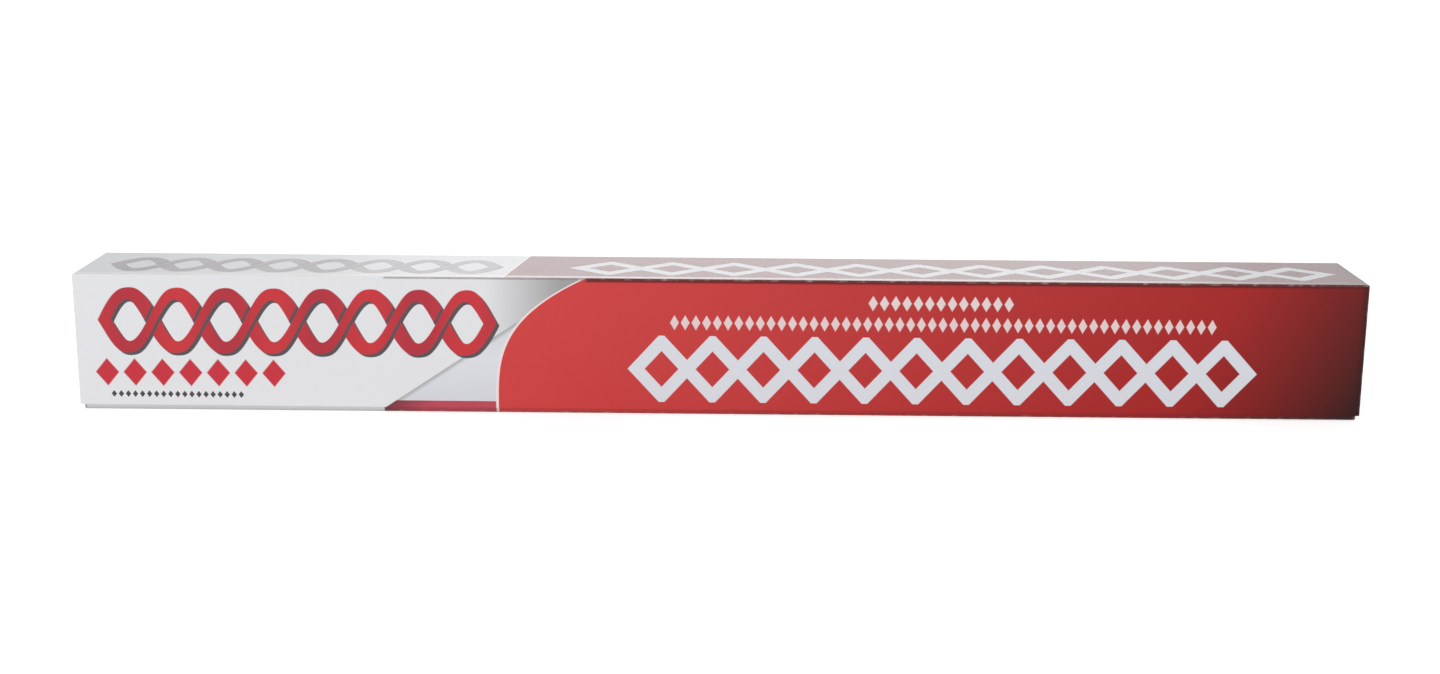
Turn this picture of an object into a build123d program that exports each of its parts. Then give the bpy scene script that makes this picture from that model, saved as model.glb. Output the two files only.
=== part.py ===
from build123d import *
import math
import os

# A roll of heavy aluminium foil on its paperboard core, in a printed board carton with a hinged lid.
# The carton lies along X. Its front is at -Y, and Z = 0 is the surface that it stands on.
# The origin is the middle of the base. All lengths are in millimetres.

# Foil roll and core
foil_width = 457.2  # 18 inches, the width printed on the pack
roll_diameter = 37.0
winding_thickness = 1.8  # 7.6 m of 0.024 mm foil, wound on the core
turn_step = 0.25  # how far neighbouring groups of turns stand out at the roll's ends
core_wall = 0.8
core_overhang = 1.4  # core beyond the foil at each end
wound_gap = 0.1  # between the first turn and the core
lip_length = 13.0  # loose free end of the foil
lip_thickness = 0.15
lip_curl_share = 2.5  # its radius, against the roll's

# Carton
board = 0.5
fold_radius = 0.9  # outside of a fold
hinge_radius = 0.4  # outside of the creased fold that the lid turns on
roll_side_gap = 0.5  # roll to front and rear walls
core_end_gap = 2.7
headroom = 13.0  # above the roll
front_drop = 4.0  # front wall below the rear wall
flap_lift = 2.0  # front flap above the surface
running_gap = 0.3  # between the lid's pieces and the tray
panel_inset = 0.3  # cut sides of an end panel, in from the walls
dust_flap_reach = 12.0
dust_flap_taper = 3.0
ear_foot = 4.0  # ear beside the front flap's lower edge
ear_rear_gap = 1.5
ear_rear_drop = 8.0
ear_hollow = 10.0  # depth of the ear's hollow cut
tuck_reach = 14.0  # front flap's own ear, glued inside the lid's ear
tuck_bevel = 3.0

# Press-in lock tab in each end panel
lock_tab_radius = 6.5
lock_tab_slit = 0.35
lock_tab_nick = 1.2  # uncut bridge that holds the tab until it is pressed

# Cutter strip
cutter_thickness = 0.2
cutter_height = 10.0
cutter_setback = 0.3  # tooth tips above the flap's lower edge
tooth_pitch = 2.0
tooth_depth = 1.3
stake_pitch = 28.0
stake_diameter = 1.8
stake_end_margin = 8.0

overrun = 5.0  # by which a cut passes the face it starts from

# Sizes that follow
core_diameter = roll_diameter - 2 * winding_thickness
core_bore = core_diameter - 2 * core_wall
core_length = foil_width + 2 * core_overhang
cutter_length = core_length

tray_length = core_length + 2 * core_end_gap + 4 * board
tray_height = roll_diameter + board + headroom
tray_inner_depth = roll_diameter + 2 * roll_side_gap
tray_depth = tray_inner_depth + 2 * board

carton_length = tray_length + 4 * board + 2 * running_gap
carton_depth = tray_depth + running_gap + cutter_thickness + board
carton_height = tray_height + board

rear_y = carton_depth / 2
front_y = -carton_depth / 2
tray_front_y = rear_y - tray_depth
tray_middle_y = rear_y - tray_depth / 2
roll_z = board + roll_diameter / 2
front_wall_top = tray_height - front_drop
inner_fold_radius = fold_radius - board


# Tray: bottom, walls and dust flaps are folded from one blank, and the end panels are glued over them
with BuildPart() as carton_tray:
    with BuildSketch():
        with Locations((0, tray_middle_y)):
            RectangleRounded(tray_length - 2 * board, tray_depth, fold_radius)
        with Locations((0, tray_middle_y)):
            with GridLocations(tray_length - board, 0, 2, 1):
                Rectangle(board, tray_depth - 2 * panel_inset)
    extrude(amount=tray_height)

    # Rounded folds along the bottom, at the ends and then at the walls
    with BuildSketch(Plane.XZ.offset(-rear_y)):
        with Locations((0, tray_height / 2)):
            ends_outline = Rectangle(tray_length, tray_height)
        fillet(ends_outline.vertices().group_by(Axis.Y)[0], radius=fold_radius)
    extrude(amount=carton_depth, mode=Mode.INTERSECT)
    with BuildSketch(Plane.YZ.offset(-tray_length / 2)):
        with Locations((tray_middle_y, tray_height / 2)):
            walls_outline = Rectangle(tray_depth, tray_height)
        fillet(walls_outline.vertices().group_by(Axis.Y)[0], radius=fold_radius)
    extrude(amount=tray_length, mode=Mode.INTERSECT)

    # Inside, between the dust flaps at the two ends
    with BuildSketch(Plane.XY.offset(board)):
        with Locations((0, tray_middle_y)):
            Rectangle(tray_length - 4 * board, tray_inner_depth)
    extrude(amount=tray_height, mode=Mode.SUBTRACT)
    inner_edges = carton_tray.edges(Select.LAST).filter_by(Axis.X).group_by(Axis.Z)[0]
    fillet(inner_edges, radius=inner_fold_radius)

    # Each end is one board thick between and above its two dust flaps
    with BuildSketch(Plane.YZ.offset(-tray_length / 2 + board)):
        with BuildLine():
            Polyline(
                (tray_front_y + board + dust_flap_reach - dust_flap_taper, front_wall_top),
                (tray_front_y + board + dust_flap_reach, front_wall_top - dust_flap_taper),
                (tray_front_y + board + dust_flap_reach, board),
                (rear_y - board - dust_flap_reach, board),
                (rear_y - board - dust_flap_reach, front_wall_top - dust_flap_taper),
                (rear_y - board - dust_flap_reach + dust_flap_taper, front_wall_top),
                (rear_y - board, front_wall_top),
                (rear_y - board, tray_height),
                (tray_front_y + board, tray_height),
                (tray_front_y + board, front_wall_top),
                close=True,
            )
        make_face()
    extrude(amount=tray_length - 2 * board, mode=Mode.SUBTRACT)

    # Front wall, lower than the rear wall
    with BuildSketch(Plane.XZ.offset(-tray_front_y - board)):
        with Locations((0, front_wall_top + (front_drop + overrun) / 2)):
            Rectangle(tray_length - 2 * board, front_drop + overrun)
    extrude(amount=board + overrun, mode=Mode.SUBTRACT)

    # Lock tabs: a half round cut below a straight fold, held by a nick at its lowest point
    with BuildSketch(Plane.YZ.offset(-tray_length / 2 - overrun)):
        with Locations((tray_middle_y, roll_z)):
            Circle(lock_tab_radius)
            Circle(lock_tab_radius - lock_tab_slit, mode=Mode.SUBTRACT)
        with Locations((tray_middle_y, roll_z + lock_tab_radius / 2)):
            Rectangle(2 * lock_tab_radius, lock_tab_radius, mode=Mode.SUBTRACT)
        with Locations((tray_middle_y, roll_z - lock_tab_radius)):
            Rectangle(lock_tab_nick, 2 * lock_tab_slit + lock_tab_nick, mode=Mode.SUBTRACT)
    extrude(amount=tray_length + 2 * overrun, mode=Mode.SUBTRACT)
carton_tray.part.label = "carton_tray"


# Lid: top panel, front flap and ears. It turns about the top of the rear wall.
with BuildPart() as carton_lid:
    with BuildSketch(Plane.XY.offset(flap_lift)):
        lid_outline = Rectangle(carton_length, carton_depth)
        fillet(lid_outline.vertices().group_by(Axis.Y)[0], radius=fold_radius)
    extrude(amount=carton_height - flap_lift)

    # Rounded folds of the top panel, at the ears and then at the front flap
    with BuildSketch(Plane.XZ.offset(-rear_y)):
        with Locations((0, carton_height / 2)):
            ears_outline = Rectangle(carton_length, carton_height)
        fillet(ears_outline.vertices().group_by(Axis.Y)[-1], radius=fold_radius)
    extrude(amount=carton_depth, mode=Mode.INTERSECT)
    with BuildSketch(Plane.YZ.offset(-carton_length / 2)):
        with Locations((0, carton_height / 2)):
            flap_outline = Rectangle(carton_depth, carton_height)
        front_corner, rear_corner = flap_outline.vertices().group_by(Axis.Y)[-1].sort_by(Axis.X)
        fillet(front_corner, radius=fold_radius)
        fillet(rear_corner, radius=hinge_radius)
    extrude(amount=carton_length, mode=Mode.INTERSECT)

    # Inside of the board, with the rear left open
    with BuildSketch(Plane.XY.offset(flap_lift)):
        with Locations((0, (board + overrun) / 2)):
            Rectangle(carton_length - 2 * board, carton_depth - board + overrun)
    extrude(amount=tray_height - flap_lift, mode=Mode.SUBTRACT)
    inner_edges = carton_lid.edges(Select.LAST).filter_by(Axis.X).group_by(Axis.Z)[-1]
    fillet(inner_edges.sort_by(Axis.Y)[0], radius=inner_fold_radius)

    # Front flap's own ears, folded back and glued inside the lid's ears
    with BuildSketch(Plane.YZ.offset(-carton_length / 2 + board)) as tuck_outline:
        with BuildLine():
            Polyline(
                (front_y + board, flap_lift),
                (front_y + board + tuck_reach - tuck_bevel, flap_lift),
                (front_y + board + tuck_reach, flap_lift + tuck_bevel),
                (front_y + board + tuck_reach, tray_height - 2 * tuck_bevel),
                (front_y + board + tuck_reach - tuck_bevel, tray_height - tuck_bevel),
                (front_y + board, tray_height - tuck_bevel),
                close=True,
            )
        make_face()
    extrude(amount=board)
    with BuildSketch(Plane.YZ.offset(carton_length / 2 - 2 * board)):
        add(tuck_outline.sketch_local)
    extrude(amount=board)

    # Ears cut back in a hollow curve, which leaves the lock tabs free
    with BuildSketch(Plane.YZ.offset(-carton_length / 2 - overrun)):
        with BuildLine():
            ear_curve = SagittaArc(
                (front_y + board + ear_foot, flap_lift),
                (rear_y - ear_rear_gap, tray_height - ear_rear_drop),
                ear_hollow,
            )
            Polyline(
                ear_curve @ 1,
                (rear_y - ear_rear_gap, tray_height),
                (rear_y + overrun, tray_height),
                (rear_y + overrun, flap_lift - overrun),
                (front_y + board + ear_foot, flap_lift - overrun),
                ear_curve @ 0,
            )
        make_face()
    extrude(amount=carton_length + 2 * overrun, mode=Mode.SUBTRACT)
carton_lid.part.label = "carton_lid"


# Cutter: a toothed steel strip on the inside of the front flap, staked through the board
tip_z = flap_lift + cutter_setback
tooth_count = math.floor(cutter_length / tooth_pitch)
first_tooth_x = -tooth_count * tooth_pitch / 2
tooth_outline = []
for tooth in range(tooth_count):
    tooth_x = first_tooth_x + tooth * tooth_pitch
    tooth_outline.append((tooth_x, tip_z + tooth_depth))
    tooth_outline.append((tooth_x + tooth_pitch / 2, tip_z))
stake_count = 1 + math.floor((cutter_length - 2 * stake_end_margin) / stake_pitch)

with BuildPart() as cutter_strip:
    with BuildSketch(Plane.XZ.offset(-front_y - board)):
        with BuildLine():
            Polyline(
                *tooth_outline,
                (-first_tooth_x, tip_z + tooth_depth),
                (-first_tooth_x, tip_z + cutter_height),
                (first_tooth_x, tip_z + cutter_height),
                close=True,
            )
        make_face()
        with Locations((0, tip_z + (tooth_depth + cutter_height) / 2)):
            with GridLocations(stake_pitch, 0, stake_count, 1):
                Circle(stake_diameter / 2, mode=Mode.SUBTRACT)
    extrude(amount=-cutter_thickness)
cutter_strip.part.label = "cutter_strip"


# Core: spiral wound paperboard tube
with BuildPart() as core_tube:
    with BuildSketch(Plane.YZ.offset(-core_length / 2)):
        with Locations((tray_middle_y, roll_z)):
            Circle(core_diameter / 2)
            Circle(core_bore / 2, mode=Mode.SUBTRACT)
    extrude(amount=core_length)
    chamfer(core_tube.edges().filter_by(GeomType.CIRCLE), length=core_wall / 4)
core_tube.part.label = "core_tube"


# Foil: all the turns as one solid. At the ends the turns stand out unevenly, in groups.
# Each share is a group's place between the lowest and the highest ring, from the core outwards.
turn_group_shares = (0.4, 0.9, 0.2, 0.7, 0.0, 0.6, 1.0, 0.5)
turn_group = (winding_thickness - wound_gap) / len(turn_group_shares)
first_turn_radius = core_diameter / 2 + wound_gap
ring_points = []
for group, share in enumerate(turn_group_shares):
    ring_x = foil_width / 2 - turn_step * (1 - share)
    inner_radius = first_turn_radius + group * turn_group
    ring_points.append((ring_x, inner_radius))
    ring_points.append((ring_x, inner_radius + turn_group))
mirrored_points = [(-x, radius) for x, radius in reversed(ring_points)]

# The free end leaves the top of the roll and lies loosely over it, towards the front
lip_radius = lip_curl_share * roll_diameter / 2
lip_angle = math.degrees(lip_length / lip_radius)
lip_centre = (tray_middle_y, roll_z + roll_diameter / 2 - lip_radius)
quarter_turn = 90

with BuildPart() as foil_roll:
    with BuildSketch(Plane(origin=(0, tray_middle_y, roll_z), x_dir=(1, 0, 0), z_dir=(0, -1, 0))):
        with BuildLine():
            Polyline(*ring_points, *mirrored_points, close=True)
        make_face()
    revolve(axis=Axis((0, tray_middle_y, roll_z), (1, 0, 0)))
    with BuildSketch(Plane.YZ.offset(-foil_width / 2)):
        with BuildLine():
            outer_arc = CenterArc(lip_centre, lip_radius, quarter_turn, lip_angle)
            inner_arc = CenterArc(lip_centre, lip_radius - lip_thickness, quarter_turn, lip_angle)
            Line(outer_arc @ 0, inner_arc @ 0)
            Line(outer_arc @ 1, inner_arc @ 1)
        make_face()
    extrude(amount=foil_width)
foil_roll.part.label = "foil_roll"

os.makedirs("parts", exist_ok=True)
export_step(carton_tray.part, "parts/carton_tray.step")
export_step(carton_lid.part, "parts/carton_lid.step")
export_step(cutter_strip.part, "parts/cutter_strip.step")
export_step(foil_roll.part, "parts/foil_roll.step")
export_step(core_tube.part, "parts/core_tube.step")
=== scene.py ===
import bmesh
import bpy
import math
from mathutils import Matrix, Vector, noise


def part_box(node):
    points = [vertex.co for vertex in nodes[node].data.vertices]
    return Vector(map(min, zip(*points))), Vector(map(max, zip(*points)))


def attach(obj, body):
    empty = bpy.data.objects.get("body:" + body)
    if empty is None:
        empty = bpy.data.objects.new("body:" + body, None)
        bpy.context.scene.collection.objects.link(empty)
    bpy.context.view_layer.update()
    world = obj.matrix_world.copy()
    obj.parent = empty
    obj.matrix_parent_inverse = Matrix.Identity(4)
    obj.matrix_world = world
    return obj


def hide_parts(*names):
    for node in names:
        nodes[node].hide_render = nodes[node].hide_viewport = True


# A roll of foil in its printed board carton. Metres, length along X, front at -Y, standing on Z = 0.

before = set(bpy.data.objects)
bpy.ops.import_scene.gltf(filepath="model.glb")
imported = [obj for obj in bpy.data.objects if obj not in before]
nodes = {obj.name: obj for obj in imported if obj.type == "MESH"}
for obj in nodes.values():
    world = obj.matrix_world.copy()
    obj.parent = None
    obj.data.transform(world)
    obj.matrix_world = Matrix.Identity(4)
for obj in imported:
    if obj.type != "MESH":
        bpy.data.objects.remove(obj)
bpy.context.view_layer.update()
print("frame loaded:", ", ".join(sorted(nodes)))

scene = bpy.context.scene
mergeDistance = 1e-7  # for the doubles that a full spin leaves


def addNode(tree, kind, inputs=(), **settings):
    node = tree.nodes.new("ShaderNode" + kind)
    for name, value in settings.items():
        setattr(node, name, value)
    pairs = inputs.items() if isinstance(inputs, dict) else enumerate(inputs)
    for socket, value in pairs:
        if isinstance(value, bpy.types.Node):
            value = value.outputs[0]
        if isinstance(value, bpy.types.NodeSocket):
            tree.links.new(value, node.inputs[socket])
        else:
            node.inputs[socket].default_value = value
    return node


def linearColour(hexText):  # sRGB hex to the linear colour that a socket takes
    channels = [int(hexText[i:i + 2], 16) / 255 for i in (1, 3, 5)]
    return [c / 12.92 if c <= 0.04045 else ((c + 0.055) / 1.055) ** 2.4 for c in channels] + [1.0]


def newMaterial(name):
    material = bpy.data.materials.new(name)
    material.use_nodes = True
    material.node_tree.nodes.clear()
    return material, material.node_tree


def addGradient(tree, value, stops):  # stops are (place, hex), and the value runs over their places
    first, last = stops[0][0], stops[-1][0]
    share = addNode(tree, "MapRange", [value, first, last, 0.0, 1.0])
    gradient = addNode(tree, "ValToRGB", [share])
    ramp = gradient.color_ramp
    while len(ramp.elements) < len(stops):
        ramp.elements.new(0.5)
    for element, (place, hexText) in zip(ramp.elements, stops):
        element.position = (place - first) / (last - first)
        element.color = linearColour(hexText)
    return gradient.outputs[0]


def paintOver(tree, colour, layers):  # each layer is a mask from 0 to 1 and the colour that it puts on top
    for mask, tone in layers:
        tone = linearColour(tone) if isinstance(tone, str) else tone
        colour = addNode(tree, "Mix", {0: mask, 6: colour, 7: tone}, data_type="RGBA").outputs[2]
    return colour


def paintFibre(tree, flecks, look):  # fibre board with darker and paler flecks
    dark = addNode(tree, "MapRange", [flecks, *look["darkFlecks"], 0.0, look["fleckShare"]])
    pale = addNode(tree, "MapRange", [flecks, *look["paleFlecks"], 0.0, look["fleckShare"]])
    return paintOver(tree, linearColour(look["colour"]), [(dark, look["dark"]), (pale, look["pale"])])


def addPiece(name, pieceBm, body):
    mesh = bpy.data.meshes.new(name)
    for face in pieceBm.faces:
        face.smooth = True
    pieceBm.to_mesh(mesh)
    pieceBm.free()
    piece = bpy.data.objects.new(name, mesh)
    scene.collection.objects.link(piece)
    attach(piece, body)
    return piece


def spinAround(pieceBm, corners, closed, centre, axis, steps):  # a full turn of the line through the corners
    points = [pieceBm.verts.new(corner) for corner in corners]
    following = points[1:] + points[:1] if closed else points[1:]
    edges = [pieceBm.edges.new(pair) for pair in zip(points, following)]
    bmesh.ops.spin(pieceBm, geom=points + edges, cent=centre, axis=axis, angle=2 * math.pi, steps=steps,
                   use_merge=True)
    bmesh.ops.remove_doubles(pieceBm, verts=pieceBm.verts, dist=mergeDistance)


def finishNode(name, finish):
    for materialSlot in nodes[name].material_slots:
        materialSlot.link = "OBJECT"
        materialSlot.material = finish


# Carton print, with painted shade on the top panel. All of it is drawn in millimetres on the flat board: u
# runs along the carton, and v up the front flap from its lower edge, over the fold at 49 and back across the
# top panel to 89.
printAndShadeLook = {
    "fold": 49.0,
    "softEdge": 0.24,  # the width over which an ink ends
    "white": "#E6E7EA",
    "shade": "#A2A2A2",  # the front's white turns this grey on its way to the red
    "shadeReach": (-85.0, -57.0),
    "red": ((-50, "#D04242"), (190, "#A62020"), (255, "#360606")),
    "redLean": 0.5,  # the red darkens to the right, and this much of its height to the bottom
    "redStart": -80.5,
    "redReach": 32.5,
    "redCurve": 3.2,
    "edgeLine": "#F2E6E6",
    "edgeLineStart": (-1.1, -0.8),
    "silver": ((0, "#D4D8DE"), (18, "#E0E4EA"), (34, "#D4D8DE")),
    "silverStart": -122.0,
    "silverLean": 1.5,
    "silverLine": "#A9AAAD",
    "silverLineFade": (3.6, 0.2),
    "strip": "#BE4A59",
    "stripHeight": 2.6,
    "stripShade": "#6A343C",
    "stripShadeFade": (15.0, 0.0),
    "lineShare": 0.85,  # of the silver's line and the strip's shade
    "topShadedWhite": "#D9DADD",  # painted shade: the top panel's white is drawn greyer, as the top takes less light than the front
    "topShadedRed": "#683C40",  # and its red is deeper and greyer, partly as painted shade, since the top takes less light than the front
    "topShadedRedShare": 0.88,
    "topStart": -78.0,
    "topLean": 0.15,
    "endPlace": 214.0,  # the end panels and ears have no deeper red than the one that stands here
    "lozengeSoftness": 0.06,
    "lozengeMargin": 0.1,
}

# Two strands that cross, in place of a title
braidLook = {
    "start": -224.0,
    "pitch": 35.2,
    "waves": 4,
    "reach": 10.0,
    "width": 4.6,
    "swell": 0.6,  # a pen stroke: thick where it falls and thinner where it climbs
    "swellFade": 9.0,  # but for this much of the ends
    "shadowShift": (1.1, -1.0),
    "halo": 1.1,
    "front": {"middle": 32.0, "tones": ("#CB373E", "#B5323F", "#585055")},
    "top": {"middle": 68.0, "tones": ("#A39DA0", "#989296", "#8E898C")},
}

# Latticework of straight strokes, in place of the large capitals
trellisLook = {
    "count": 6,
    "width": 4.6,
    "front": {"start": -30.0, "pitch": 37.2, "middle": 15.4, "reach": 10.2, "tone": "#DDE1E8"},
    "top": {"start": -52.0, "pitch": 46.0, "middle": 67.5, "reach": 9.5, "tone": "#D0D2D7"},
}

# Rows of small lozenges and dots: a row's ends and middle, and half of a lozenge's width and height
rowLooks = {
    "redLozenges": {"ends": (-224.0, -163.0), "middle": 12.4, "pitch": 10.2, "half": (4.3, 5.2),
                    "tone": "#C93340"},
    "greyDots": {"ends": (-222.0, -175.0), "middle": 4.2, "pitch": 2.6, "half": (1.0, 1.3),
                 "tone": "#4C4A4E"},
    "upperDots": {"ends": (56.0, 105.0), "middle": 40.6, "pitch": 4.1, "half": (1.7, 2.8),
                  "tone": "#E6D6D6"},
    "lowerDots": {"ends": (-16.0, 178.0), "middle": 32.8, "pitch": 3.9, "half": (1.6, 2.8),
                  "tone": "#E6D2D2"},
}


def drawBraid(tree, u, v, ground, panel):
    look = braidLook
    soft, reach, halo = printAndShadeLook["softEdge"], look["reach"], look["halo"]
    turn = 2 * math.pi / look["pitch"]
    length = look["pitch"] * look["waves"]
    fade = (length / 2, length / 2 - look["swellFade"])
    shift = look["shadowShift"]
    copies = (("a", 1, (0, 0)), ("b", -1, (0, 0)), ("aShade", 1, shift), ("bShade", -1, shift))
    masks, offs = {}, {}
    for name, side, (across, up) in copies:
        along = addNode(tree, "Math", [u, look["start"] + across], operation="SUBTRACT")
        off = addNode(tree, "Math", [along, length / 2], operation="SUBTRACT")
        offs[name] = addNode(tree, "Math", [off], operation="ABSOLUTE")
        angle = addNode(tree, "Math", [along, turn], operation="MULTIPLY")
        sine = addNode(tree, "Math", [angle], operation="SINE")
        cosine = addNode(tree, "Math", [angle], operation="COSINE")
        line = addNode(tree, "Math", [sine, side * reach, panel["middle"] + up], operation="MULTIPLY_ADD")
        apart = addNode(tree, "Math", [v, line], operation="SUBTRACT")
        apart = addNode(tree, "Math", [apart], operation="ABSOLUTE")
        slope = addNode(tree, "Math", [cosine, reach * turn], operation="MULTIPLY")
        square = addNode(tree, "Math", [slope, slope, 1.0], operation="MULTIPLY_ADD")
        root = addNode(tree, "Math", [square], operation="SQRT")
        distance = addNode(tree, "Math", [apart, root], operation="DIVIDE")
        swell = addNode(tree, "MapRange", [offs[name], *fade, 0.0, -side * look["swell"]])
        half = addNode(tree, "Math", [cosine, swell, look["width"] / 2], operation="MULTIPLY_ADD")
        inside = addNode(tree, "Math", [half, distance], operation="SUBTRACT")
        masks[name] = addNode(tree, "MapRange", [inside, 0.0, soft, 0.0, 1.0])
        masks[name + "Halo"] = addNode(tree, "MapRange", [inside, -halo, soft - halo, 0.0, 1.0])
        if name == "a":
            aOver = addNode(tree, "Math", [cosine, 0.0], operation="GREATER_THAN")
            bOver = addNode(tree, "Math", [1.0, aOver], operation="SUBTRACT")
            sheen = addNode(tree, "MapRange", [sine, -1.0, 1.0, 0.0, 1.0])
    joined = []
    for first, second in (("aShade", "bShade"), ("a", "b")):  # the strands end in a point where they meet
        either = addNode(tree, "Math", [masks[first], masks[second]], operation="MAXIMUM")
        both = addNode(tree, "Math", [masks[first], masks[second]], operation="MINIMUM")
        beyond = addNode(tree, "Math", [offs[first], length / 2], operation="GREATER_THAN")
        near = addNode(tree, "Math", [offs[first], length / 2 + look["width"]], operation="LESS_THAN")
        met = addNode(tree, "Mix", {0: beyond, 2: either, 3: both})
        joined.append(addNode(tree, "Math", [met, near], operation="MULTIPLY"))
    shade, strands = joined
    crossings = []
    for over, top, under in ((aOver, "a", "b"), (bOver, "b", "a")):
        outside = addNode(tree, "Math", [1.0, masks[top]], operation="SUBTRACT")
        rim = addNode(tree, "Math", [masks[top + "Halo"], outside], operation="MULTIPLY")
        covered = addNode(tree, "Math", [rim, masks[under]], operation="MULTIPLY")
        crossings.append(addNode(tree, "Math", [covered, over], operation="MULTIPLY"))
    crossing = addNode(tree, "Math", crossings, operation="MAXIMUM")
    inner = addNode(tree, "Math", [offs["a"], length / 2 - look["width"]], operation="LESS_THAN")
    crossing = addNode(tree, "Math", [crossing, inner], operation="MULTIPLY")
    face, deep, shadow = panel["tones"]
    strand = paintOver(tree, linearColour(face), [(sheen, deep)])
    return paintOver(tree, ground, [(shade, shadow), (strands, strand), (crossing, shadow)])


def drawTrellis(tree, u, v, panel):
    halfWidth, halfSoft = trellisLook["width"] / 2, printAndShadeLook["softEdge"] / 2
    start, pitch, reach = panel["start"], panel["pitch"], panel["reach"]
    end = start + pitch * trellisLook["count"]
    along = addNode(tree, "Math", [u, start - pitch / 4], operation="SUBTRACT")  # it starts at a crossing
    back = addNode(tree, "Math", [along, pitch / 2], operation="PINGPONG")
    zigzag = addNode(tree, "MapRange", [back, 0.0, pitch / 2, -reach, reach], clamp=False)
    flat = math.cos(math.atan(4 * reach / pitch))
    height = addNode(tree, "Math", [v, panel["middle"]], operation="SUBTRACT")
    strokes = []
    for operation in ("SUBTRACT", "ADD"):
        apart = addNode(tree, "Math", [height, zigzag], operation=operation)
        apart = addNode(tree, "Math", [apart], operation="ABSOLUTE")
        strokes.append(addNode(tree, "Math", [apart, flat], operation="MULTIPLY"))
    nearest = addNode(tree, "Math", strokes, operation="MINIMUM")
    farthest = addNode(tree, "Math", strokes, operation="MAXIMUM")
    off = addNode(tree, "Math", [u, (start + end) / 2], operation="SUBTRACT")
    off = addNode(tree, "Math", [off], operation="ABSOLUTE")
    beyond = addNode(tree, "Math", [off, (end - start) / 2], operation="GREATER_THAN")
    line = addNode(tree, "Mix", {0: beyond, 2: nearest, 3: farthest})  # the strokes' ends meet in a point
    stroke = addNode(tree, "MapRange", [line, halfWidth + halfSoft, halfWidth - halfSoft, 0.0, 1.0])
    tall = addNode(tree, "Math", [height], operation="ABSOLUTE")
    within = addNode(tree, "Math", [tall, reach + halfWidth], operation="LESS_THAN")
    between = addNode(tree, "Math", [off, (end - start) / 2 + trellisLook["width"]], operation="LESS_THAN")
    limits = addNode(tree, "Math", [within, between], operation="MULTIPLY")
    return addNode(tree, "Math", [stroke, limits], operation="MULTIPLY")


def drawRow(tree, u, v, row):
    start, end = row["ends"]
    halfWidth, halfHeight = row["half"]
    soft, margin = printAndShadeLook["lozengeSoftness"], printAndShadeLook["lozengeMargin"]
    along = addNode(tree, "Math", [u, start], operation="SUBTRACT")
    back = addNode(tree, "Math", [along, row["pitch"] / 2], operation="PINGPONG")
    across = addNode(tree, "Math", [back, halfWidth], operation="DIVIDE")
    height = addNode(tree, "Math", [v, row["middle"]], operation="SUBTRACT")
    height = addNode(tree, "Math", [height], operation="ABSOLUTE")
    height = addNode(tree, "Math", [height, halfHeight], operation="DIVIDE")
    reach = addNode(tree, "Math", [across, height], operation="ADD")
    lozenge = addNode(tree, "MapRange", [reach, 1 + soft, 1 - soft, 0.0, 1.0])
    length = row["pitch"] * round((end - start) / row["pitch"])
    off = addNode(tree, "Math", [u, start + length / 2], operation="SUBTRACT")
    off = addNode(tree, "Math", [off], operation="ABSOLUTE")
    between = addNode(tree, "Math", [off, length / 2 + halfWidth + margin], operation="LESS_THAN")
    return addNode(tree, "Math", [lozenge, between], operation="MULTIPLY")


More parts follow.
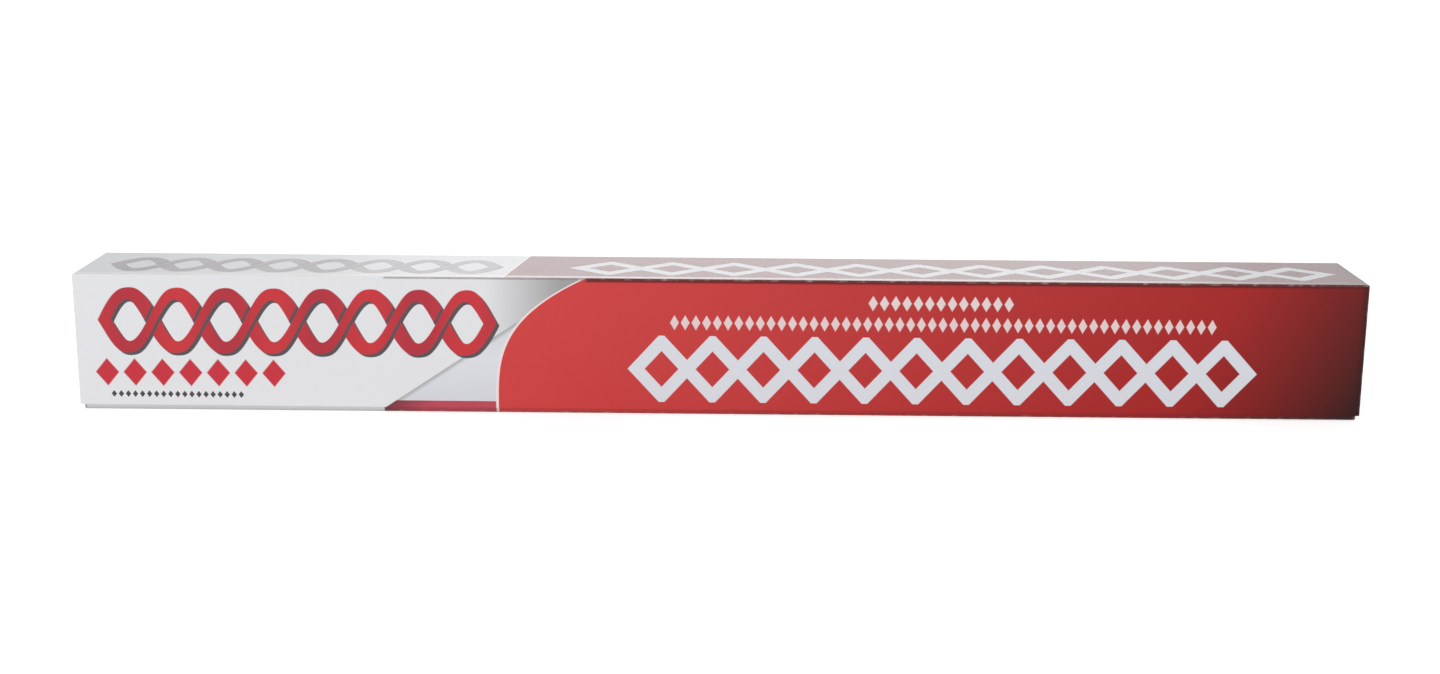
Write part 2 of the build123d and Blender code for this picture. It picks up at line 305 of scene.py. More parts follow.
def drawPrintAndShade(tree, u, v):
    look = printAndShadeLook
    fold, halfSoft = look["fold"], look["softEdge"] / 2
    lean = addNode(tree, "Math", [fold, v], operation="SUBTRACT")
    along = addNode(tree, "Math", [lean, look["redLean"], u], operation="MULTIPLY_ADD")
    red = addGradient(tree, along, look["red"])
    silver = addGradient(tree, v, look["silver"])

    # Edges between the fields on the front flap, and one on the top panel
    onTop = addNode(tree, "Math", [v, fold], operation="GREATER_THAN")
    onFront = addNode(tree, "Math", [1.0, onTop], operation="SUBTRACT")
    silverEdge = addNode(tree, "Math", [v, look["silverLean"], look["silverStart"]], operation="MULTIPLY_ADD")
    rise = addNode(tree, "MapRange", [v, 0.0, fold, 0.0, 1.0])
    curve = addNode(tree, "Math", [rise, look["redCurve"]], operation="POWER")
    frontEdge = addNode(tree, "Math", [curve, look["redReach"], look["redStart"]], operation="MULTIPLY_ADD")
    topFoot = look["topStart"] - look["topLean"] * fold
    topEdge = addNode(tree, "Math", [v, look["topLean"], topFoot], operation="MULTIPLY_ADD")
    redEdge = addNode(tree, "Mix", {0: onTop, 2: frontEdge, 3: topEdge})
    past = addNode(tree, "Math", [u, redEdge], operation="SUBTRACT")
    inRed = addNode(tree, "MapRange", [past, -halfSoft, halfSoft, 0.0, 1.0])
    inLine = addNode(tree, "MapRange", [past, *look["edgeLineStart"], 0.0, 1.0])
    pastSilver = addNode(tree, "Math", [u, silverEdge], operation="SUBTRACT")
    inSilver = addNode(tree, "MapRange", [pastSilver, -halfSoft, halfSoft, 0.0, 1.0])
    inSilver = addNode(tree, "Math", [inSilver, onFront], operation="MULTIPLY")
    low = addNode(tree, "Math", [v, look["stripHeight"]], operation="LESS_THAN")
    inStrip = addNode(tree, "Math", [inSilver, low], operation="MULTIPLY")

    # Fields
    greyer = addNode(tree, "MapRange", [u, *look["shadeReach"], 0.0, 1.0])
    greyer = addNode(tree, "Math", [greyer, onFront], operation="MULTIPLY")
    lineShare = addNode(tree, "MapRange", [pastSilver, *look["silverLineFade"], 0.0, look["lineShare"]],
                        interpolation_type="SMOOTHSTEP")
    silver = paintOver(tree, silver, [(lineShare, look["silverLine"])])
    shaded = addNode(tree, "MapRange", [pastSilver, *look["stripShadeFade"], 0.0, look["lineShare"]])
    strip = paintOver(tree, linearColour(look["strip"]), [(shaded, look["stripShade"])])
    # the top panel's red is deepened and greyed, partly as painted shade
    deeper = addNode(tree, "Math", [onTop, look["topShadedRedShare"]], operation="MULTIPLY")
    red = paintOver(tree, red, [(deeper, look["topShadedRed"])])
    # the white, greyed on the top panel by painted shade, then the grey towards the red, the fields and the
    # red
    colour = paintOver(tree, linearColour(look["white"]), [
        (onTop, look["topShadedWhite"]), (greyer, look["shade"]), (inSilver, silver), (inStrip, strip),
        (inLine, look["edgeLine"]), (inRed, red)])

    # Motifs
    for panel in ("front", "top"):
        colour = drawBraid(tree, u, v, colour, braidLook[panel])
    lattices = [trellisLook[panel] for panel in ("front", "top")]
    layers = [(drawTrellis(tree, u, v, lattice), lattice["tone"]) for lattice in lattices]
    layers += [(drawRow(tree, u, v, row), row["tone"]) for row in rowLooks.values()]
    return paintOver(tree, colour, layers)


# White-lined chipboard, offset printed and varnished: flat ink under a clear film that mirrors at a low
# angle. The film is the only smooth face, so the ink below it has no gloss of its own.
varnishLook = {
    "roughness": 0.55,
    "gloss": 0.0,
    "coatIor": 1.28,
    "coatRoughness": 0.2,
    "warp": {"Scale": 11.0, "Detail": 1.0},
    "warpHeight": 0.00011,
    "grain": {"Scale": 1100.0, "Detail": 2.0},
    "grainHeight": 0.000006,
}

# The same board where it is bare: grey-brown recycled fibre inside, and paler fibre at its cut edges
chipboardLook = {
    "colour": "#B4ACA0",
    "dark": "#8F877C",
    "pale": "#C6C0B6",
    "cut": "#C9C4BB",
    "flecks": {"Scale": 420.0, "Detail": 3.0, "Roughness": 0.65},
    "darkFlecks": (0.58, 0.70),
    "paleFlecks": (0.44, 0.30),
    "fleckShare": 1.0,
    "printDepth": 0.35,  # print lies on what is nearer than this to the outside, in millimetres
}

# Specks of white board where the ink has cracked along the folds
wearLook = {
    "tone": "#EFE9E6",
    "noise": {"Scale": 260.0, "Detail": 3.0},
    "specks": (0.50, 0.68),
    "reach": (0.8, 0.55),  # how far from a fold they end and are full, in millimetres
    "share": 0.22,
}


def boardMaterial(name, node, readParts):
    material, tree = newMaterial(name)
    place = addNode(tree, "TexCoord")
    spot = place.outputs["Object"]
    millimetres = addNode(tree, "VectorMath", {0: spot, "Scale": 1000.0}, operation="SCALE")
    position = addNode(tree, "SeparateXYZ", [millimetres]).outputs
    facing = addNode(tree, "SeparateXYZ", [place.outputs["Normal"]]).outputs
    wear = addNode(tree, "TexNoise", {"Vector": spot, **wearLook["noise"]})
    low, high = (corner * 1000 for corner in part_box(node))
    parts = readParts(tree, position, facing, low, high, wear)
    flecks = addNode(tree, "TexNoise", {"Vector": spot, **chipboardLook["flecks"]})
    # the print comes with painted shade and highlights: at the lid's folds and top panel, and at the tray's
    # foot
    layers = [(parts["cut"], chipboardLook["cut"]), (parts["printed"], parts["print"])]
    colour = paintOver(tree, paintFibre(tree, flecks, chipboardLook), layers)

    look = varnishLook
    warp = addNode(tree, "TexNoise", {"Vector": spot, **look["warp"]})
    grain = addNode(tree, "TexNoise", {"Vector": spot, **look["grain"]})
    waved = addNode(tree, "Bump", {"Height": warp, "Distance": look["warpHeight"]})
    bump = addNode(tree, "Bump", {"Height": grain, "Distance": look["grainHeight"], "Normal": waved})
    surface = addNode(tree, "BsdfPrincipled", {
        "Base Color": colour, "Roughness": look["roughness"], "Specular IOR Level": look["gloss"],
        "Coat Weight": parts["printed"], "Coat Roughness": look["coatRoughness"], "Coat IOR": look["coatIor"],
        "Normal": bump, "Coat Normal": bump})
    addNode(tree, "OutputMaterial", {"Surface": surface})
    return material


def readWear(tree, distances, wear):  # on a fold, two of the three distances are small
    a, b, c = distances
    total = addNode(tree, "Math", [a, b], operation="ADD")
    total = addNode(tree, "Math", [total, c], operation="ADD")
    largest = addNode(tree, "Math", [a, b], operation="MAXIMUM")
    largest = addNode(tree, "Math", [largest, c], operation="MAXIMUM")
    spread = addNode(tree, "Math", [total, largest], operation="SUBTRACT")
    onFold = addNode(tree, "MapRange", [spread, *wearLook["reach"], 0.0, 1.0])
    specks = addNode(tree, "MapRange", [wear, *wearLook["specks"], 0.0, wearLook["share"]])
    return addNode(tree, "Math", [onFold, specks], operation="MULTIPLY")


def readPrinted(tree, distances, cut):  # print covers what is near the outside, apart from the cut edges
    depth = addNode(tree, "Math", distances[:2], operation="MINIMUM")
    for distance in distances[2:]:
        depth = addNode(tree, "Math", [depth, distance], operation="MINIMUM")
    outer = addNode(tree, "Math", [depth, chipboardLook["printDepth"]], operation="LESS_THAN")
    uncut = addNode(tree, "Math", [1.0, cut], operation="SUBTRACT")
    return addNode(tree, "Math", [outer, uncut], operation="MULTIPLY")


# Lid: where its board is cut, and the lines at its folds. Places are in millimetres: above the front
# fold, along the carton, or from its end.
lidLook = {
    "downward": -0.7,  # a face with its normal's height below this faces down
    "footDepth": 0.1,
    "edgeOn": 0.3,  # and one with less of it lengthwise than this is an ear's cut edge
    "earDepth": 1.02,  # an ear and the flap's ear inside it reach this far from the end
    "foldDepth": 1.0,
    # a dark line just below the front fold: partly the print's edge and partly painted shade of the crease
    "redLine": "#560A0E",
    "redLineLower": (-1.9, -1.0),
    "redLineUpper": (0.8, 0.3),
    "redLineStart": (-49.0, -47.5),
    "redLineShare": 0.86,
    "greyLine": "#8D8788",
    "greyLinePlace": (-0.3, 0.45),  # its middle and half of its width
    "greyLineStart": (-122.0, -121.0),
    "greyLineShare": 0.7,
    # painted highlight on the rounded front fold, on the top panel just above it, fading towards the right
    # end
    "foldHighlight": "#F6E8EA",
    "foldHighlightLower": (0.6, 1.0),
    "foldHighlightUpper": (4.4, 2.6),
    "foldHighlightFade": (120.0, 235.0),
    "foldHighlightShares": (0.7, 0.05),
    # painted shade along the fold at the carton's right end
    "endShade": "#1E060A",
    "endShadeReach": (3.0, 1.0),
    "endShadeShare": 0.55,
}


def readLid(tree, position, facing, low, high, wear):
    look = lidLook
    x, y, z = position
    fromFront = addNode(tree, "Math", [y, low.y], operation="SUBTRACT")
    fromTop = addNode(tree, "Math", [high.z, z], operation="SUBTRACT")
    side = addNode(tree, "Math", [x], operation="ABSOLUTE")
    fromEnd = addNode(tree, "Math", [high.x, side], operation="SUBTRACT")

    # Cut edges: the flap's lower edge, and round the ears
    downward = addNode(tree, "Math", [facing[2], look["downward"]], operation="LESS_THAN")
    nearFoot = addNode(tree, "Math", [z, low.z + look["footDepth"]], operation="LESS_THAN")
    foot = addNode(tree, "Math", [downward, nearFoot], operation="MULTIPLY")
    sideways = addNode(tree, "Math", [facing[0]], operation="ABSOLUTE")
    rim = addNode(tree, "Math", [sideways, look["edgeOn"]], operation="LESS_THAN")
    inEar = addNode(tree, "Math", [fromEnd, look["earDepth"]], operation="LESS_THAN")
    behindFold = addNode(tree, "Math", [fromFront, look["foldDepth"]], operation="GREATER_THAN")
    underFold = addNode(tree, "Math", [fromTop, look["foldDepth"]], operation="GREATER_THAN")
    for limit in (inEar, behindFold, underFold):
        rim = addNode(tree, "Math", [rim, limit], operation="MULTIPLY")
    cut = addNode(tree, "Math", [foot, rim], operation="MAXIMUM")
    printed = readPrinted(tree, [fromFront, fromTop, fromEnd], cut)

    # The ears have the fields alone, at the front flap's height
    onEar = addNode(tree, "Math", [fromEnd, chipboardLook["printDepth"]], operation="LESS_THAN")
    earU = addNode(tree, "Math", [x, printAndShadeLook["endPlace"]], operation="MINIMUM")
    u = addNode(tree, "Mix", {0: onEar, 2: x, 3: earU})
    earV = addNode(tree, "Math", [z, low.z], operation="SUBTRACT")
    v = addNode(tree, "Math", [earV, fromFront], operation="ADD")
    v = addNode(tree, "Mix", {0: onEar, 2: v, 3: earV})
    colour = drawPrintAndShade(tree, u, v)

    # At the folds: a grey printed line on the front fold, a dark line below it that is partly print and
    # partly painted crease shade, a painted highlight above it, and painted shade along the right end
    above = addNode(tree, "Math", [v, printAndShadeLook["fold"]], operation="SUBTRACT")
    redLine = addNode(tree, "MapRange", [u, *look["redLineStart"], 0.0, look["redLineShare"]])
    for edge in ("redLineLower", "redLineUpper"):
        fade = addNode(tree, "MapRange", [above, *look[edge], 0.0, 1.0], interpolation_type="SMOOTHSTEP")
        redLine = addNode(tree, "Math", [redLine, fade], operation="MULTIPLY")
    thin = addNode(tree, "Math", [above, *look["greyLinePlace"]], operation="COMPARE")
    overGrey = addNode(tree, "MapRange", [u, *look["greyLineStart"], 0.0, look["greyLineShare"]])
    greyLine = addNode(tree, "Math", [thin, overGrey], operation="MULTIPLY")
    foldHighlight = addNode(tree, "MapRange", [u, *look["foldHighlightFade"], *look["foldHighlightShares"]])
    for edge in ("foldHighlightLower", "foldHighlightUpper"):
        fade = addNode(tree, "MapRange", [above, *look[edge], 0.0, 1.0])
        foldHighlight = addNode(tree, "Math", [foldHighlight, fade], operation="MULTIPLY")
    toEnd = addNode(tree, "Math", [u, high.x], operation="SUBTRACT")
    toEnd = addNode(tree, "Math", [toEnd], operation="ABSOLUTE")
    endShade = addNode(tree, "MapRange", [toEnd, *look["endShadeReach"], 0.0, look["endShadeShare"]])
    crack = readWear(tree, (fromFront, fromTop, fromEnd), wear)
    colour = paintOver(tree, colour, [
        (greyLine, look["greyLine"]), (redLine, look["redLine"]), (endShade, look["endShade"]),
        (foldHighlight, look["foldHighlight"]), (crack, wearLook["tone"])])
    return {"print": colour, "printed": printed, "cut": cut}


# Tray: which faces are which, where its board is cut, and its front wall. Heights are in millimetres.
trayLook = {
    "upward": 0.7,  # a face with its normal's height above this faces up
    "aloft": 40.0,
    "rearDepth": 0.6,
    "facing": 0.6,  # and one with more of it than this to the rear or to an end faces that way
    "rearLift": 1.0,  # the rear's design starts this far above the surface
    "endLift": 2.0,
    "plainHeight": 2.75,  # the front wall has the fields as they are at this height of the design
    "plainFoot": -0.5,  # and its foot has them as they are at this one
    "footHeight": 2.5,
    "frontDepth": 0.95,
    "footShade": "#3A3638",  # painted shade: the fold below the flap, recessed and in the flap's shadow
    "footReach": (0.0, 2.2),
    "footShares": (0.36, 0.06),
}


def readTray(tree, position, facing, low, high, wear):
    look = trayLook
    x, y, z = position
    side = addNode(tree, "Math", [x], operation="ABSOLUTE")
    fromEnd = addNode(tree, "Math", [high.x, side], operation="SUBTRACT")
    fromFront = addNode(tree, "Math", [y, low.y], operation="SUBTRACT")
    fromRear = addNode(tree, "Math", [high.y, y], operation="SUBTRACT")

    # Cut edges face up. The rear wall's top, which runs on into the lid, is neither cut nor printed.
    upward = addNode(tree, "Math", [facing[2], look["upward"]], operation="GREATER_THAN")
    aloft = addNode(tree, "Math", [z, look["aloft"]], operation="GREATER_THAN")
    notRear = addNode(tree, "Math", [fromRear, look["rearDepth"]], operation="GREATER_THAN")
    bare = addNode(tree, "Math", [upward, aloft], operation="MULTIPLY")
    printed = readPrinted(tree, [fromFront, fromRear, fromEnd, z], bare)
    cut = addNode(tree, "Math", [bare, notRear], operation="MULTIPLY")

    # The rear wall carries the front's design, read from behind. The end panels, and the front wall, which
    # the flap hides but for its foot, have the fields alone.
    atRear = addNode(tree, "Math", [facing[1], look["facing"]], operation="GREATER_THAN")
    sideways = addNode(tree, "Math", [facing[0]], operation="ABSOLUTE")
    atEnd = addNode(tree, "Math", [sideways, look["facing"]], operation="GREATER_THAN")
    turned = addNode(tree, "Math", [x, -1.0], operation="MULTIPLY")
    endU = addNode(tree, "Math", [x, printAndShadeLook["endPlace"]], operation="MINIMUM")
    u = addNode(tree, "Mix", {0: atRear, 2: x, 3: turned})
    u = addNode(tree, "Mix", {0: atEnd, 2: u, 3: endU})
    plainFoot, plainRise = look["plainFoot"], look["plainHeight"] - look["plainFoot"]
    aboveFoot = addNode(tree, "Math", [z, look["footHeight"]], operation="GREATER_THAN")
    v = addNode(tree, "Math", [aboveFoot, plainRise, plainFoot], operation="MULTIPLY_ADD")
    rearV = addNode(tree, "Math", [z, look["rearLift"]], operation="SUBTRACT")
    endV = addNode(tree, "Math", [z, look["endLift"]], operation="SUBTRACT")
    v = addNode(tree, "Mix", {0: atRear, 2: v, 3: rearV})
    v = addNode(tree, "Mix", {0: atEnd, 2: v, 3: endV})
    colour = drawPrintAndShade(tree, u, v)

    atFront = addNode(tree, "Math", [fromFront, look["frontDepth"]], operation="LESS_THAN")
    hidden = addNode(tree, "Math", [1.0, aboveFoot], operation="SUBTRACT")
    # painted shade on the front wall's foot below the flap, darkest at the floor
    footShadeMask = addNode(tree, "MapRange", [z, *look["footReach"], *look["footShares"]])
    for limit in (atFront, hidden):
        footShadeMask = addNode(tree, "Math", [footShadeMask, limit], operation="MULTIPLY")
    fromSide = addNode(tree, "Math", [fromFront, fromRear], operation="MINIMUM")
    crack = readWear(tree, (fromSide, z, fromEnd), wear)
    colour = paintOver(tree, colour, [(footShadeMask, look["footShade"]), (crack, wearLook["tone"])])
    return {"print": colour, "printed": printed, "cut": cut}


finishNode("carton_lid", boardMaterial("varnishedLidBoard", "carton_lid", readLid))
finishNode("carton_tray", boardMaterial("varnishedTrayBoard", "carton_tray", readTray))
print("carton finished")


# Foil roll: all the turns on the core, and the loose free end that is pulled to start
foilLook = {
    "radius": 0.0185,
    "inner": 0.0168,
    "rings": 22,
    "ringStep": 0.00028,
    "ringSwing": (2.4, 0.7),  # how the groups of turns stand in and out, from one to the next
    "sides": 128,
    "lengthwise": 110,
    "skin": 0.00001,  # what comes this near to the radius is the outer face, which has the dents
    "dent": 0.00009,
    "dentScale": (26, 90, 90),
    "dentClear": 0.001,  # no dents this near the ends
    "lipLength": 0.013,
    "lipRadius": 0.04625,
    "lipLift": 0.00009,
    "lipInset": 0.0002,
    "lipFoil": 0.00004,
    "lipCells": (220, 16),
    "crinkle": 0.0007,
    "crinkleStart": 1.5,  # the higher, the longer the free end stays smooth where it leaves the roll
    "crinkleWaves": ((55, 1.6, 3.0, 1.0), (170, 4.0, 8.0, 0.6)),  # scale along and out, shift, share
}

# Aluminium foil, cold rolled: its bright face mirrors softly, with fine lines along the rolling
# direction, which runs round the roll, and shallow dents where turns have been pressed
aluminiumLook = {
    "bright": "#E4E6E9",
    "dull": "#B2B5BA",
    "clouded": "#9B9EA4",
    "roughness": (0.15, 0.28),
    "lineStretch": (2600.0, 40.0, 40.0),
    "lines": {"Scale": 1.0, "Detail": 2.0},
    "lineHeight": 0.000012,
    "lineSpread": (0.3, 0.7),
    "streaks": (0.66, 0.34),  # the rolls leave brighter and duller lines
    "dents": {"Scale": 130.0, "Detail": 3.0, "Roughness": 0.6, "Distortion": 0.6},
    "dentHeight": 0.0006,
    "clouds": (0.48, 0.3),
    "cloudShare": 0.6,
    "ringPitch": 0.00017,  # the edges of the turns, coarser than real so that they show
    "ringHeight": 0.00005,
    "ringDepth": 0.0004,
}

coreLow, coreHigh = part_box("core_tube")
middleY, middleZ = (coreLow.y + coreHigh.y) / 2, (coreLow.z + coreHigh.z) / 2
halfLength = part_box("foil_roll")[1].x

turnsBm = bmesh.new()
thickness = foilLook["radius"] - foilLook["inner"]
profile = []
for ring in range(foilLook["rings"]):  # from the core outwards, each group of turns a little in or out
    fast, slow = foilLook["ringSwing"]
    share = 0.5 + 0.5 * math.sin(ring * fast) * math.cos(ring * slow)
    x = halfLength - foilLook["ringStep"] * (1 - share)
    for step in (ring, ring + 1):
        profile.append((x, foilLook["inner"] + thickness * step / foilLook["rings"]))
rightEnd = list(profile)
for k in range(1, foilLook["lengthwise"]):
    profile.append((halfLength * (1 - 2 * k / foilLook["lengthwise"]), foilLook["radius"]))
profile += [(-x, radius) for x, radius in reversed(rightEnd)]
corners = [(x, middleY, middleZ + radius) for x, radius in profile]
spinAround(turnsBm, corners, True, (0, middleY, middleZ), (1, 0, 0), foilLook["sides"])
for vertex in turnsBm.verts:
    arm = Vector((0, vertex.co.y - middleY, vertex.co.z - middleZ))
    onSkin = arm.length > foilLook["radius"] - foilLook["skin"]
    if onSkin and abs(vertex.co.x) < halfLength - foilLook["dentClear"]:
        spot = Vector((vertex.co.x, arm.y, arm.z)) * Vector(foilLook["dentScale"])
        vertex.co -= arm.normalized() * (noise.noise(spot) * 0.5 + 0.5) * foilLook["dent"]
bmesh.ops.recalc_face_normals(turnsBm, faces=turnsBm.faces)
foilTurns = addPiece("foilTurns", turnsBm, "carton")
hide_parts("foil_roll")

lipBm = bmesh.new()
cellsAlong, cellsOut = foilLook["lipCells"]
bmesh.ops.create_grid(lipBm, x_segments=cellsAlong, y_segments=cellsOut, size=0.5)
lipZ = middleZ + foilLook["radius"] - foilLook["lipRadius"]
for vertex in lipBm.verts:
    x, out = vertex.co.x * 2 * (halfLength - foilLook["lipInset"]), vertex.co.y + 0.5
    angle = math.pi / 2 + out * foilLook["lipLength"] / foilLook["lipRadius"]
    crumple = 0
    for along, across, shift, share in foilLook["crinkleWaves"]:
        crumple += share * noise.noise(Vector((x * along, out * across, shift)))
    ease = out ** foilLook["crinkleStart"]
    radius = foilLook["lipRadius"] + foilLook["lipLift"] + foilLook["crinkle"] * ease * crumple
    vertex.co = (x, middleY + radius * math.cos(angle), lipZ + radius * math.sin(angle))
foilLip = addPiece("foilLip", lipBm, "carton")
solidify = foilLip.modifiers.new("foilThickness", "SOLIDIFY")
solidify.thickness = foilLook["lipFoil"]
solidify.offset = 0.0

look = aluminiumLook
foilFinish, tree = newMaterial("brightRolledFoil")
place = addNode(tree, "TexCoord").outputs["Object"]
stretched = addNode(tree, "VectorMath", [place, look["lineStretch"]], operation="MULTIPLY")
lines = addNode(tree, "TexNoise", {"Vector": stretched, **look["lines"]})
softDents = addNode(tree, "TexNoise", {"Vector": place, **look["dents"]})
fromAxis = addNode(tree, "VectorMath", [place, (0.0, middleY, middleZ)], operation="SUBTRACT")
crossways = addNode(tree, "VectorMath", [fromAxis, (0.0, 1.0, 1.0)], operation="MULTIPLY")
radial = addNode(tree, "VectorMath", [crossways], operation="LENGTH").outputs["Value"]
turns = addNode(tree, "Math", [radial, 2 * math.pi / look["ringPitch"]], operation="MULTIPLY")
turns = addNode(tree, "Math", [turns], operation="SINE")
lengthwise = addNode(tree, "SeparateXYZ", [place])
nearEnd = addNode(tree, "Math", [lengthwise], operation="ABSOLUTE")
nearEnd = addNode(tree, "Math", [nearEnd, halfLength - look["ringDepth"]], operation="GREATER_THAN")
ridges = addNode(tree, "Math", [turns, nearEnd], operation="MULTIPLY")
bump = None
for height, distance in ((softDents, "dentHeight"), (lines, "lineHeight"), (ridges, "ringHeight")):
    below = {"Normal": bump} if bump else {}
    bump = addNode(tree, "Bump", {"Height": height, "Distance": look[distance], **below})
smear = addNode(tree, "MapRange", [lines, *look["lineSpread"], *look["roughness"]])
streak = addNode(tree, "MapRange", [lines, *look["streaks"], 0.0, 1.0])
cloud = addNode(tree, "MapRange", [softDents, *look["clouds"], 0.0, look["cloudShare"]],
                interpolation_type="SMOOTHSTEP")
tone = paintOver(tree, linearColour(look["bright"]), [(streak, look["dull"]), (cloud, look["clouded"])])
metal = addNode(tree, "BsdfPrincipled", {
    "Base Color": tone, "Metallic": 1.0, "Roughness": smear, "Normal": bump})
addNode(tree, "OutputMaterial", {"Surface": metal})
for piece in (foilTurns, foilLip):
    piece.data.materials.append(foilFinish)
print("foil finished")


# Core: a tube of kraft board, wound from strips whose butt joints run round it as a long spiral
coreLook = {
    "colour": "#B0926C",
    "dark": "#957752",
    "pale": "#C5AA86",
    "flecks": {"Scale": 520.0, "Detail": 4.0, "Roughness": 0.6},
    "darkFlecks": (0.52, 0.7),
    "paleFlecks": (0.46, 0.3),
    "fleckShare": 0.8,
    "fibreHeight": 0.00004,
    "joint": "#7D6244",
    "jointWidth": 0.012,
    "spiralPitch": 0.062,
    "roughness": 0.85,
    "gloss": 0.25,
}

coreFinish, tree = newMaterial("spiralWoundKraft")
place = addNode(tree, "TexCoord").outputs["Object"]
centred = addNode(tree, "VectorMath", [place, (0.0, middleY, middleZ)], operation="SUBTRACT")
x, y, z = addNode(tree, "SeparateXYZ", [centred]).outputs
angle = addNode(tree, "Math", [z, y], operation="ARCTAN2")
turn = addNode(tree, "Math", [angle, 1 / (2 * math.pi)], operation="MULTIPLY")
spiral = addNode(tree, "Math", [x, 1 / coreLook["spiralPitch"], turn], operation="MULTIPLY_ADD")
spiral = addNode(tree, "Math", [spiral], operation="FRACT")
joint = addNode(tree, "Math", [spiral, coreLook["jointWidth"]], operation="LESS_THAN")
flecks = addNode(tree, "TexNoise", {"Vector": place, **coreLook["flecks"]})
colour = paintOver(tree, paintFibre(tree, flecks, coreLook), [(joint, coreLook["joint"])])
step = addNode(tree, "Math", [flecks, joint], operation="SUBTRACT")
bump = addNode(tree, "Bump", {"Height": step, "Distance": coreLook["fibreHeight"]})
kraft = addNode(tree, "BsdfPrincipled", {
    "Base Color": colour, "Roughness": coreLook["roughness"], "Specular IOR Level": coreLook["gloss"],
    "Normal": bump})
addNode(tree, "OutputMaterial", {"Surface": kraft})
finishNode("core_tube", coreFinish)


# Cutter: the staking punch leaves a raised burr round each hole, on the strip's inner face
cutterLook = {
    "colour": "#C9CCD0",
    "roughness": (0.24, 0.4),
    "brushStretch": (30.0, 2000.0, 3200.0),
    "brush": {"Scale": 1.0, "Detail": 2.0},
    "brushHeight": 0.000008,
    "brushSpread": (0.3, 0.7),
    "stakes": 16,
    "stakePitch": 0.028,
    "stakeHeight": 0.0087,
    "burr": ((0.00125, 0.0), (0.00116, 0.00008), (0.00102, 0.00013), (0.00092, 0.00010), (0.00090, -0.00004)),
    "burrSides": 24,
}

low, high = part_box("cutter_strip")
stakeHeight, stakePitch = cutterLook["stakeHeight"], cutterLook["stakePitch"]
burrBm = bmesh.new()
corners = [(radius, high.y + height, stakeHeight) for radius, height in cutterLook["burr"]]
spinAround(burrBm, corners, False, (0, 0, stakeHeight), (0, 1, 0), cutterLook["burrSides"])
bmesh.ops.recalc_face_normals(burrBm, faces=burrBm.faces)
first = list(burrBm.verts) + list(burrBm.edges) + list(burrBm.faces)
for stake in range(1, cutterLook["stakes"]):
    made = bmesh.ops.duplicate(burrBm, geom=first)["geom"]
    copied = [part for part in made if isinstance(part, bmesh.types.BMVert)]
    bmesh.ops.translate(burrBm, verts=copied, vec=(stake * stakePitch, 0, 0))
toMiddle = -(cutterLook["stakes"] - 1) * stakePitch / 2
bmesh.ops.translate(burrBm, verts=burrBm.verts, vec=(toMiddle, 0, 0))
cutterBurrs = addPiece("cutterBurrs", burrBm, "lid")

# Tinplate, cold rolled and bright: fine lines along the strip that stretch its reflections
steelFinish, tree = newMaterial("brightTinplate")
place = addNode(tree, "TexCoord").outputs["Object"]
stretched = addNode(tree, "VectorMath", [place, cutterLook["brushStretch"]], operation="MULTIPLY")
brushing = addNode(tree, "TexNoise", {"Vector": stretched, **cutterLook["brush"]})
bump = addNode(tree, "Bump", {"Height": brushing, "Distance": cutterLook["brushHeight"]})
gloss = addNode(tree, "MapRange", [brushing, *cutterLook["brushSpread"], *cutterLook["roughness"]])
steel = addNode(tree, "BsdfPrincipled", {
    "Base Color": linearColour(cutterLook["colour"]), "Metallic": 1.0, "Roughness": gloss, "Normal": bump})
addNode(tree, "OutputMaterial", {"Surface": steel})
cutterBurrs.data.materials.append(steelFinish)
finishNode("cutter_strip", steelFinish)
print("core and cutter finished")


# Floor, and surroundings that the eye, gloss and glass see as white. The lamps and a dimmer world light
# the object.
studioLook = {
    "floor": "#F4F4F4",
    "floorReach": 6.0,
    "floorDrop": 0.0001,  # a hair below the carton, whose underside is flat
    "floorGlow": 0.6,
    "backdrop": "#FFFFFF",
    "ambient": 0.42,
}


def readSeen(tree):  # 1 for what the eye, gloss and glass see, and 0 for the light that a matt face gathers
    rays = addNode(tree, "LightPath").outputs
    seen = addNode(tree, "Math", [rays["Is Camera Ray"], rays["Is Glossy Ray"]], operation="ADD")
    return addNode(tree, "Math", [seen, rays["Is Transmission Ray"]], operation="ADD", use_clamp=True)


floorMesh = bpy.data.meshes.new("floor")
floorBm = bmesh.new()
bmesh.ops.create_grid(floorBm, x_segments=1, y_segments=1, size=studioLook["floorReach"])
bmesh.ops.translate(floorBm, verts=floorBm.verts, vec=(0, 0, -studioLook["floorDrop"]))
floorBm.to_mesh(floorMesh)
floorBm.free()
floor = bpy.data.objects.new("floor", floorMesh)
scene.collection.objects.link(floor)

floorPaint, tree = newMaterial("mattFloorPaint")
glow = addNode(tree, "Math", [readSeen(tree), studioLook["floorGlow"]], operation="MULTIPLY")
matt = addNode(tree, "BsdfDiffuse", {"Color": linearColour(studioLook["floor"])})
light = addNode(tree, "Emission", {"Strength": glow})
both = addNode(tree, "AddShader", [matt, light])
addNode(tree, "OutputMaterial", {"Surface": both})
floorMesh.materials.append(floorPaint)

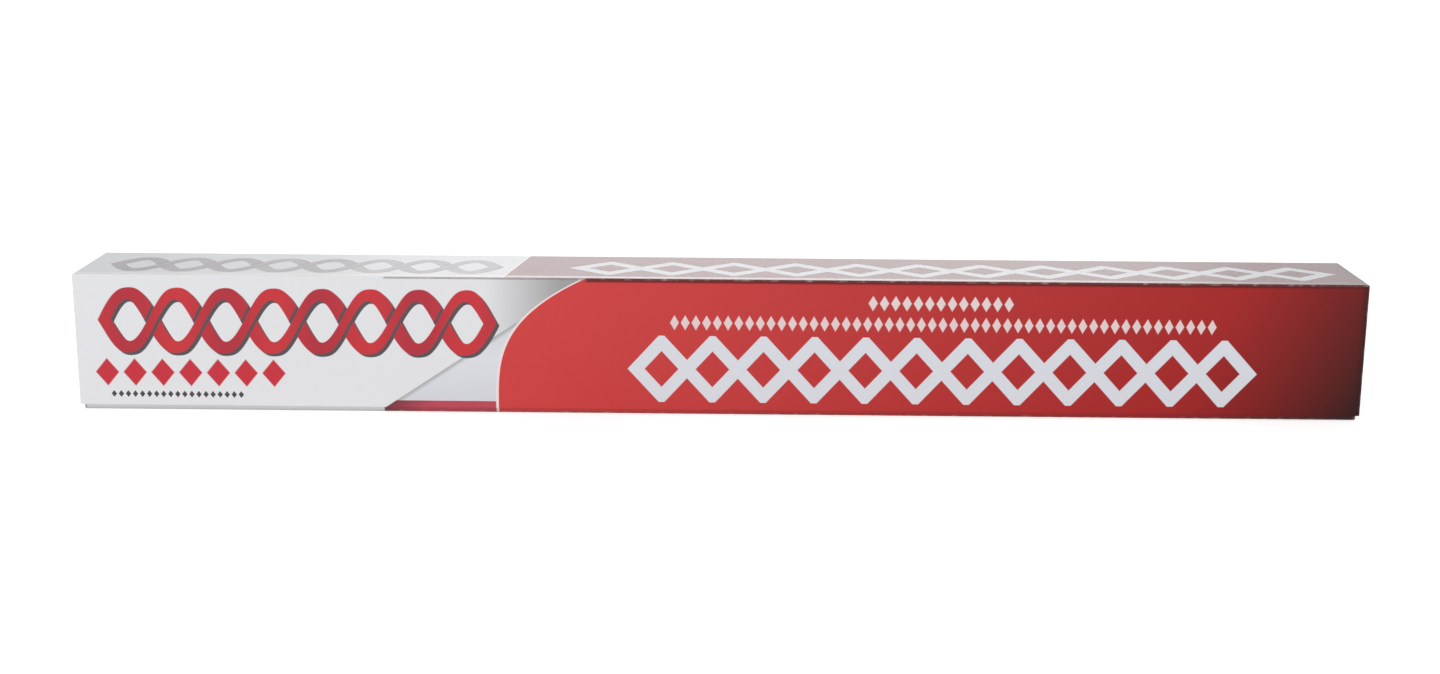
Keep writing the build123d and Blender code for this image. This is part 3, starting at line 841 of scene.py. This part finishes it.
world = bpy.data.worlds.new("studio")
scene.world = world
world.use_nodes = True
tree = world.node_tree
tree.nodes.clear()
strength = addNode(tree, "MapRange", [readSeen(tree), 0.0, 1.0, studioLook["ambient"], 1.0])
white = linearColour(studioLook["backdrop"])
background = addNode(tree, "Background", {"Color": white, "Strength": strength})
addNode(tree, "OutputWorld", {"Surface": background})

# Soft boxes in front and behind. The wash is what the top panel mirrors at the camera's low angle.
lampLooks = {
    "frontKey": {"place": (-0.5, -2.6, 0.8), "aim": (0, 0, 0.02), "size": (2.4, 1.2), "power": 39.5,
                 "shape": "RECTANGLE"},
    "rearKey": {"place": (0.1, 2.7, 1.45), "aim": (0, 0, 0.02), "size": (2.2, 1.0), "power": 30.0,
                "shape": "RECTANGLE"},
    "rearWash": {"place": (0.08, 2.8, 0.8), "aim": (0, 0, 0.05), "size": (1.6, 1.1), "power": 2.6,
                 "shape": "ELLIPSE"},
}
for name, lampLook in lampLooks.items():
    lamp = bpy.data.lights.new(name, "AREA")
    lamp.shape = lampLook["shape"]
    lamp.size, lamp.size_y = lampLook["size"]
    lamp.energy = lampLook["power"]
    holder = bpy.data.objects.new(name, lamp)
    holder.location = lampLook["place"]
    toAim = Vector(lampLook["aim"]) - Vector(lampLook["place"])
    holder.rotation_euler = toAim.to_track_quat("-Z", "Y").to_euler()
    scene.collection.objects.link(holder)

# Camera, fitted to the six corners that the photograph shows
cameraLook = {
    "place": (0.008, -0.740, 0.203),
    "yaw": -0.59,
    "down": 13.54,
    "roll": 0.38,
    "lens": 50.87,
    "sensor": 36.0,
}

camera = bpy.data.objects.new("camera", bpy.data.cameras.new("camera"))
camera.data.lens = cameraLook["lens"]
camera.data.sensor_width = cameraLook["sensor"]
yaw, down, roll = (math.radians(cameraLook[k]) for k in ("yaw", "down", "roll"))
ahead = Vector((math.sin(yaw) * math.cos(down), math.cos(yaw) * math.cos(down), -math.sin(down)))
right = Vector((math.cos(yaw), -math.sin(yaw), 0))
up = right.cross(ahead)
sideways = right * math.cos(roll) + up * math.sin(roll)
upright = up * math.cos(roll) - right * math.sin(roll)
turned = Matrix((sideways, upright, -ahead)).transposed().to_4x4()
camera.matrix_world = Matrix.Translation(cameraLook["place"]) @ turned
scene.collection.objects.link(camera)
scene.camera = camera
scene.view_settings.view_transform = "Standard"
print("studio and camera set")
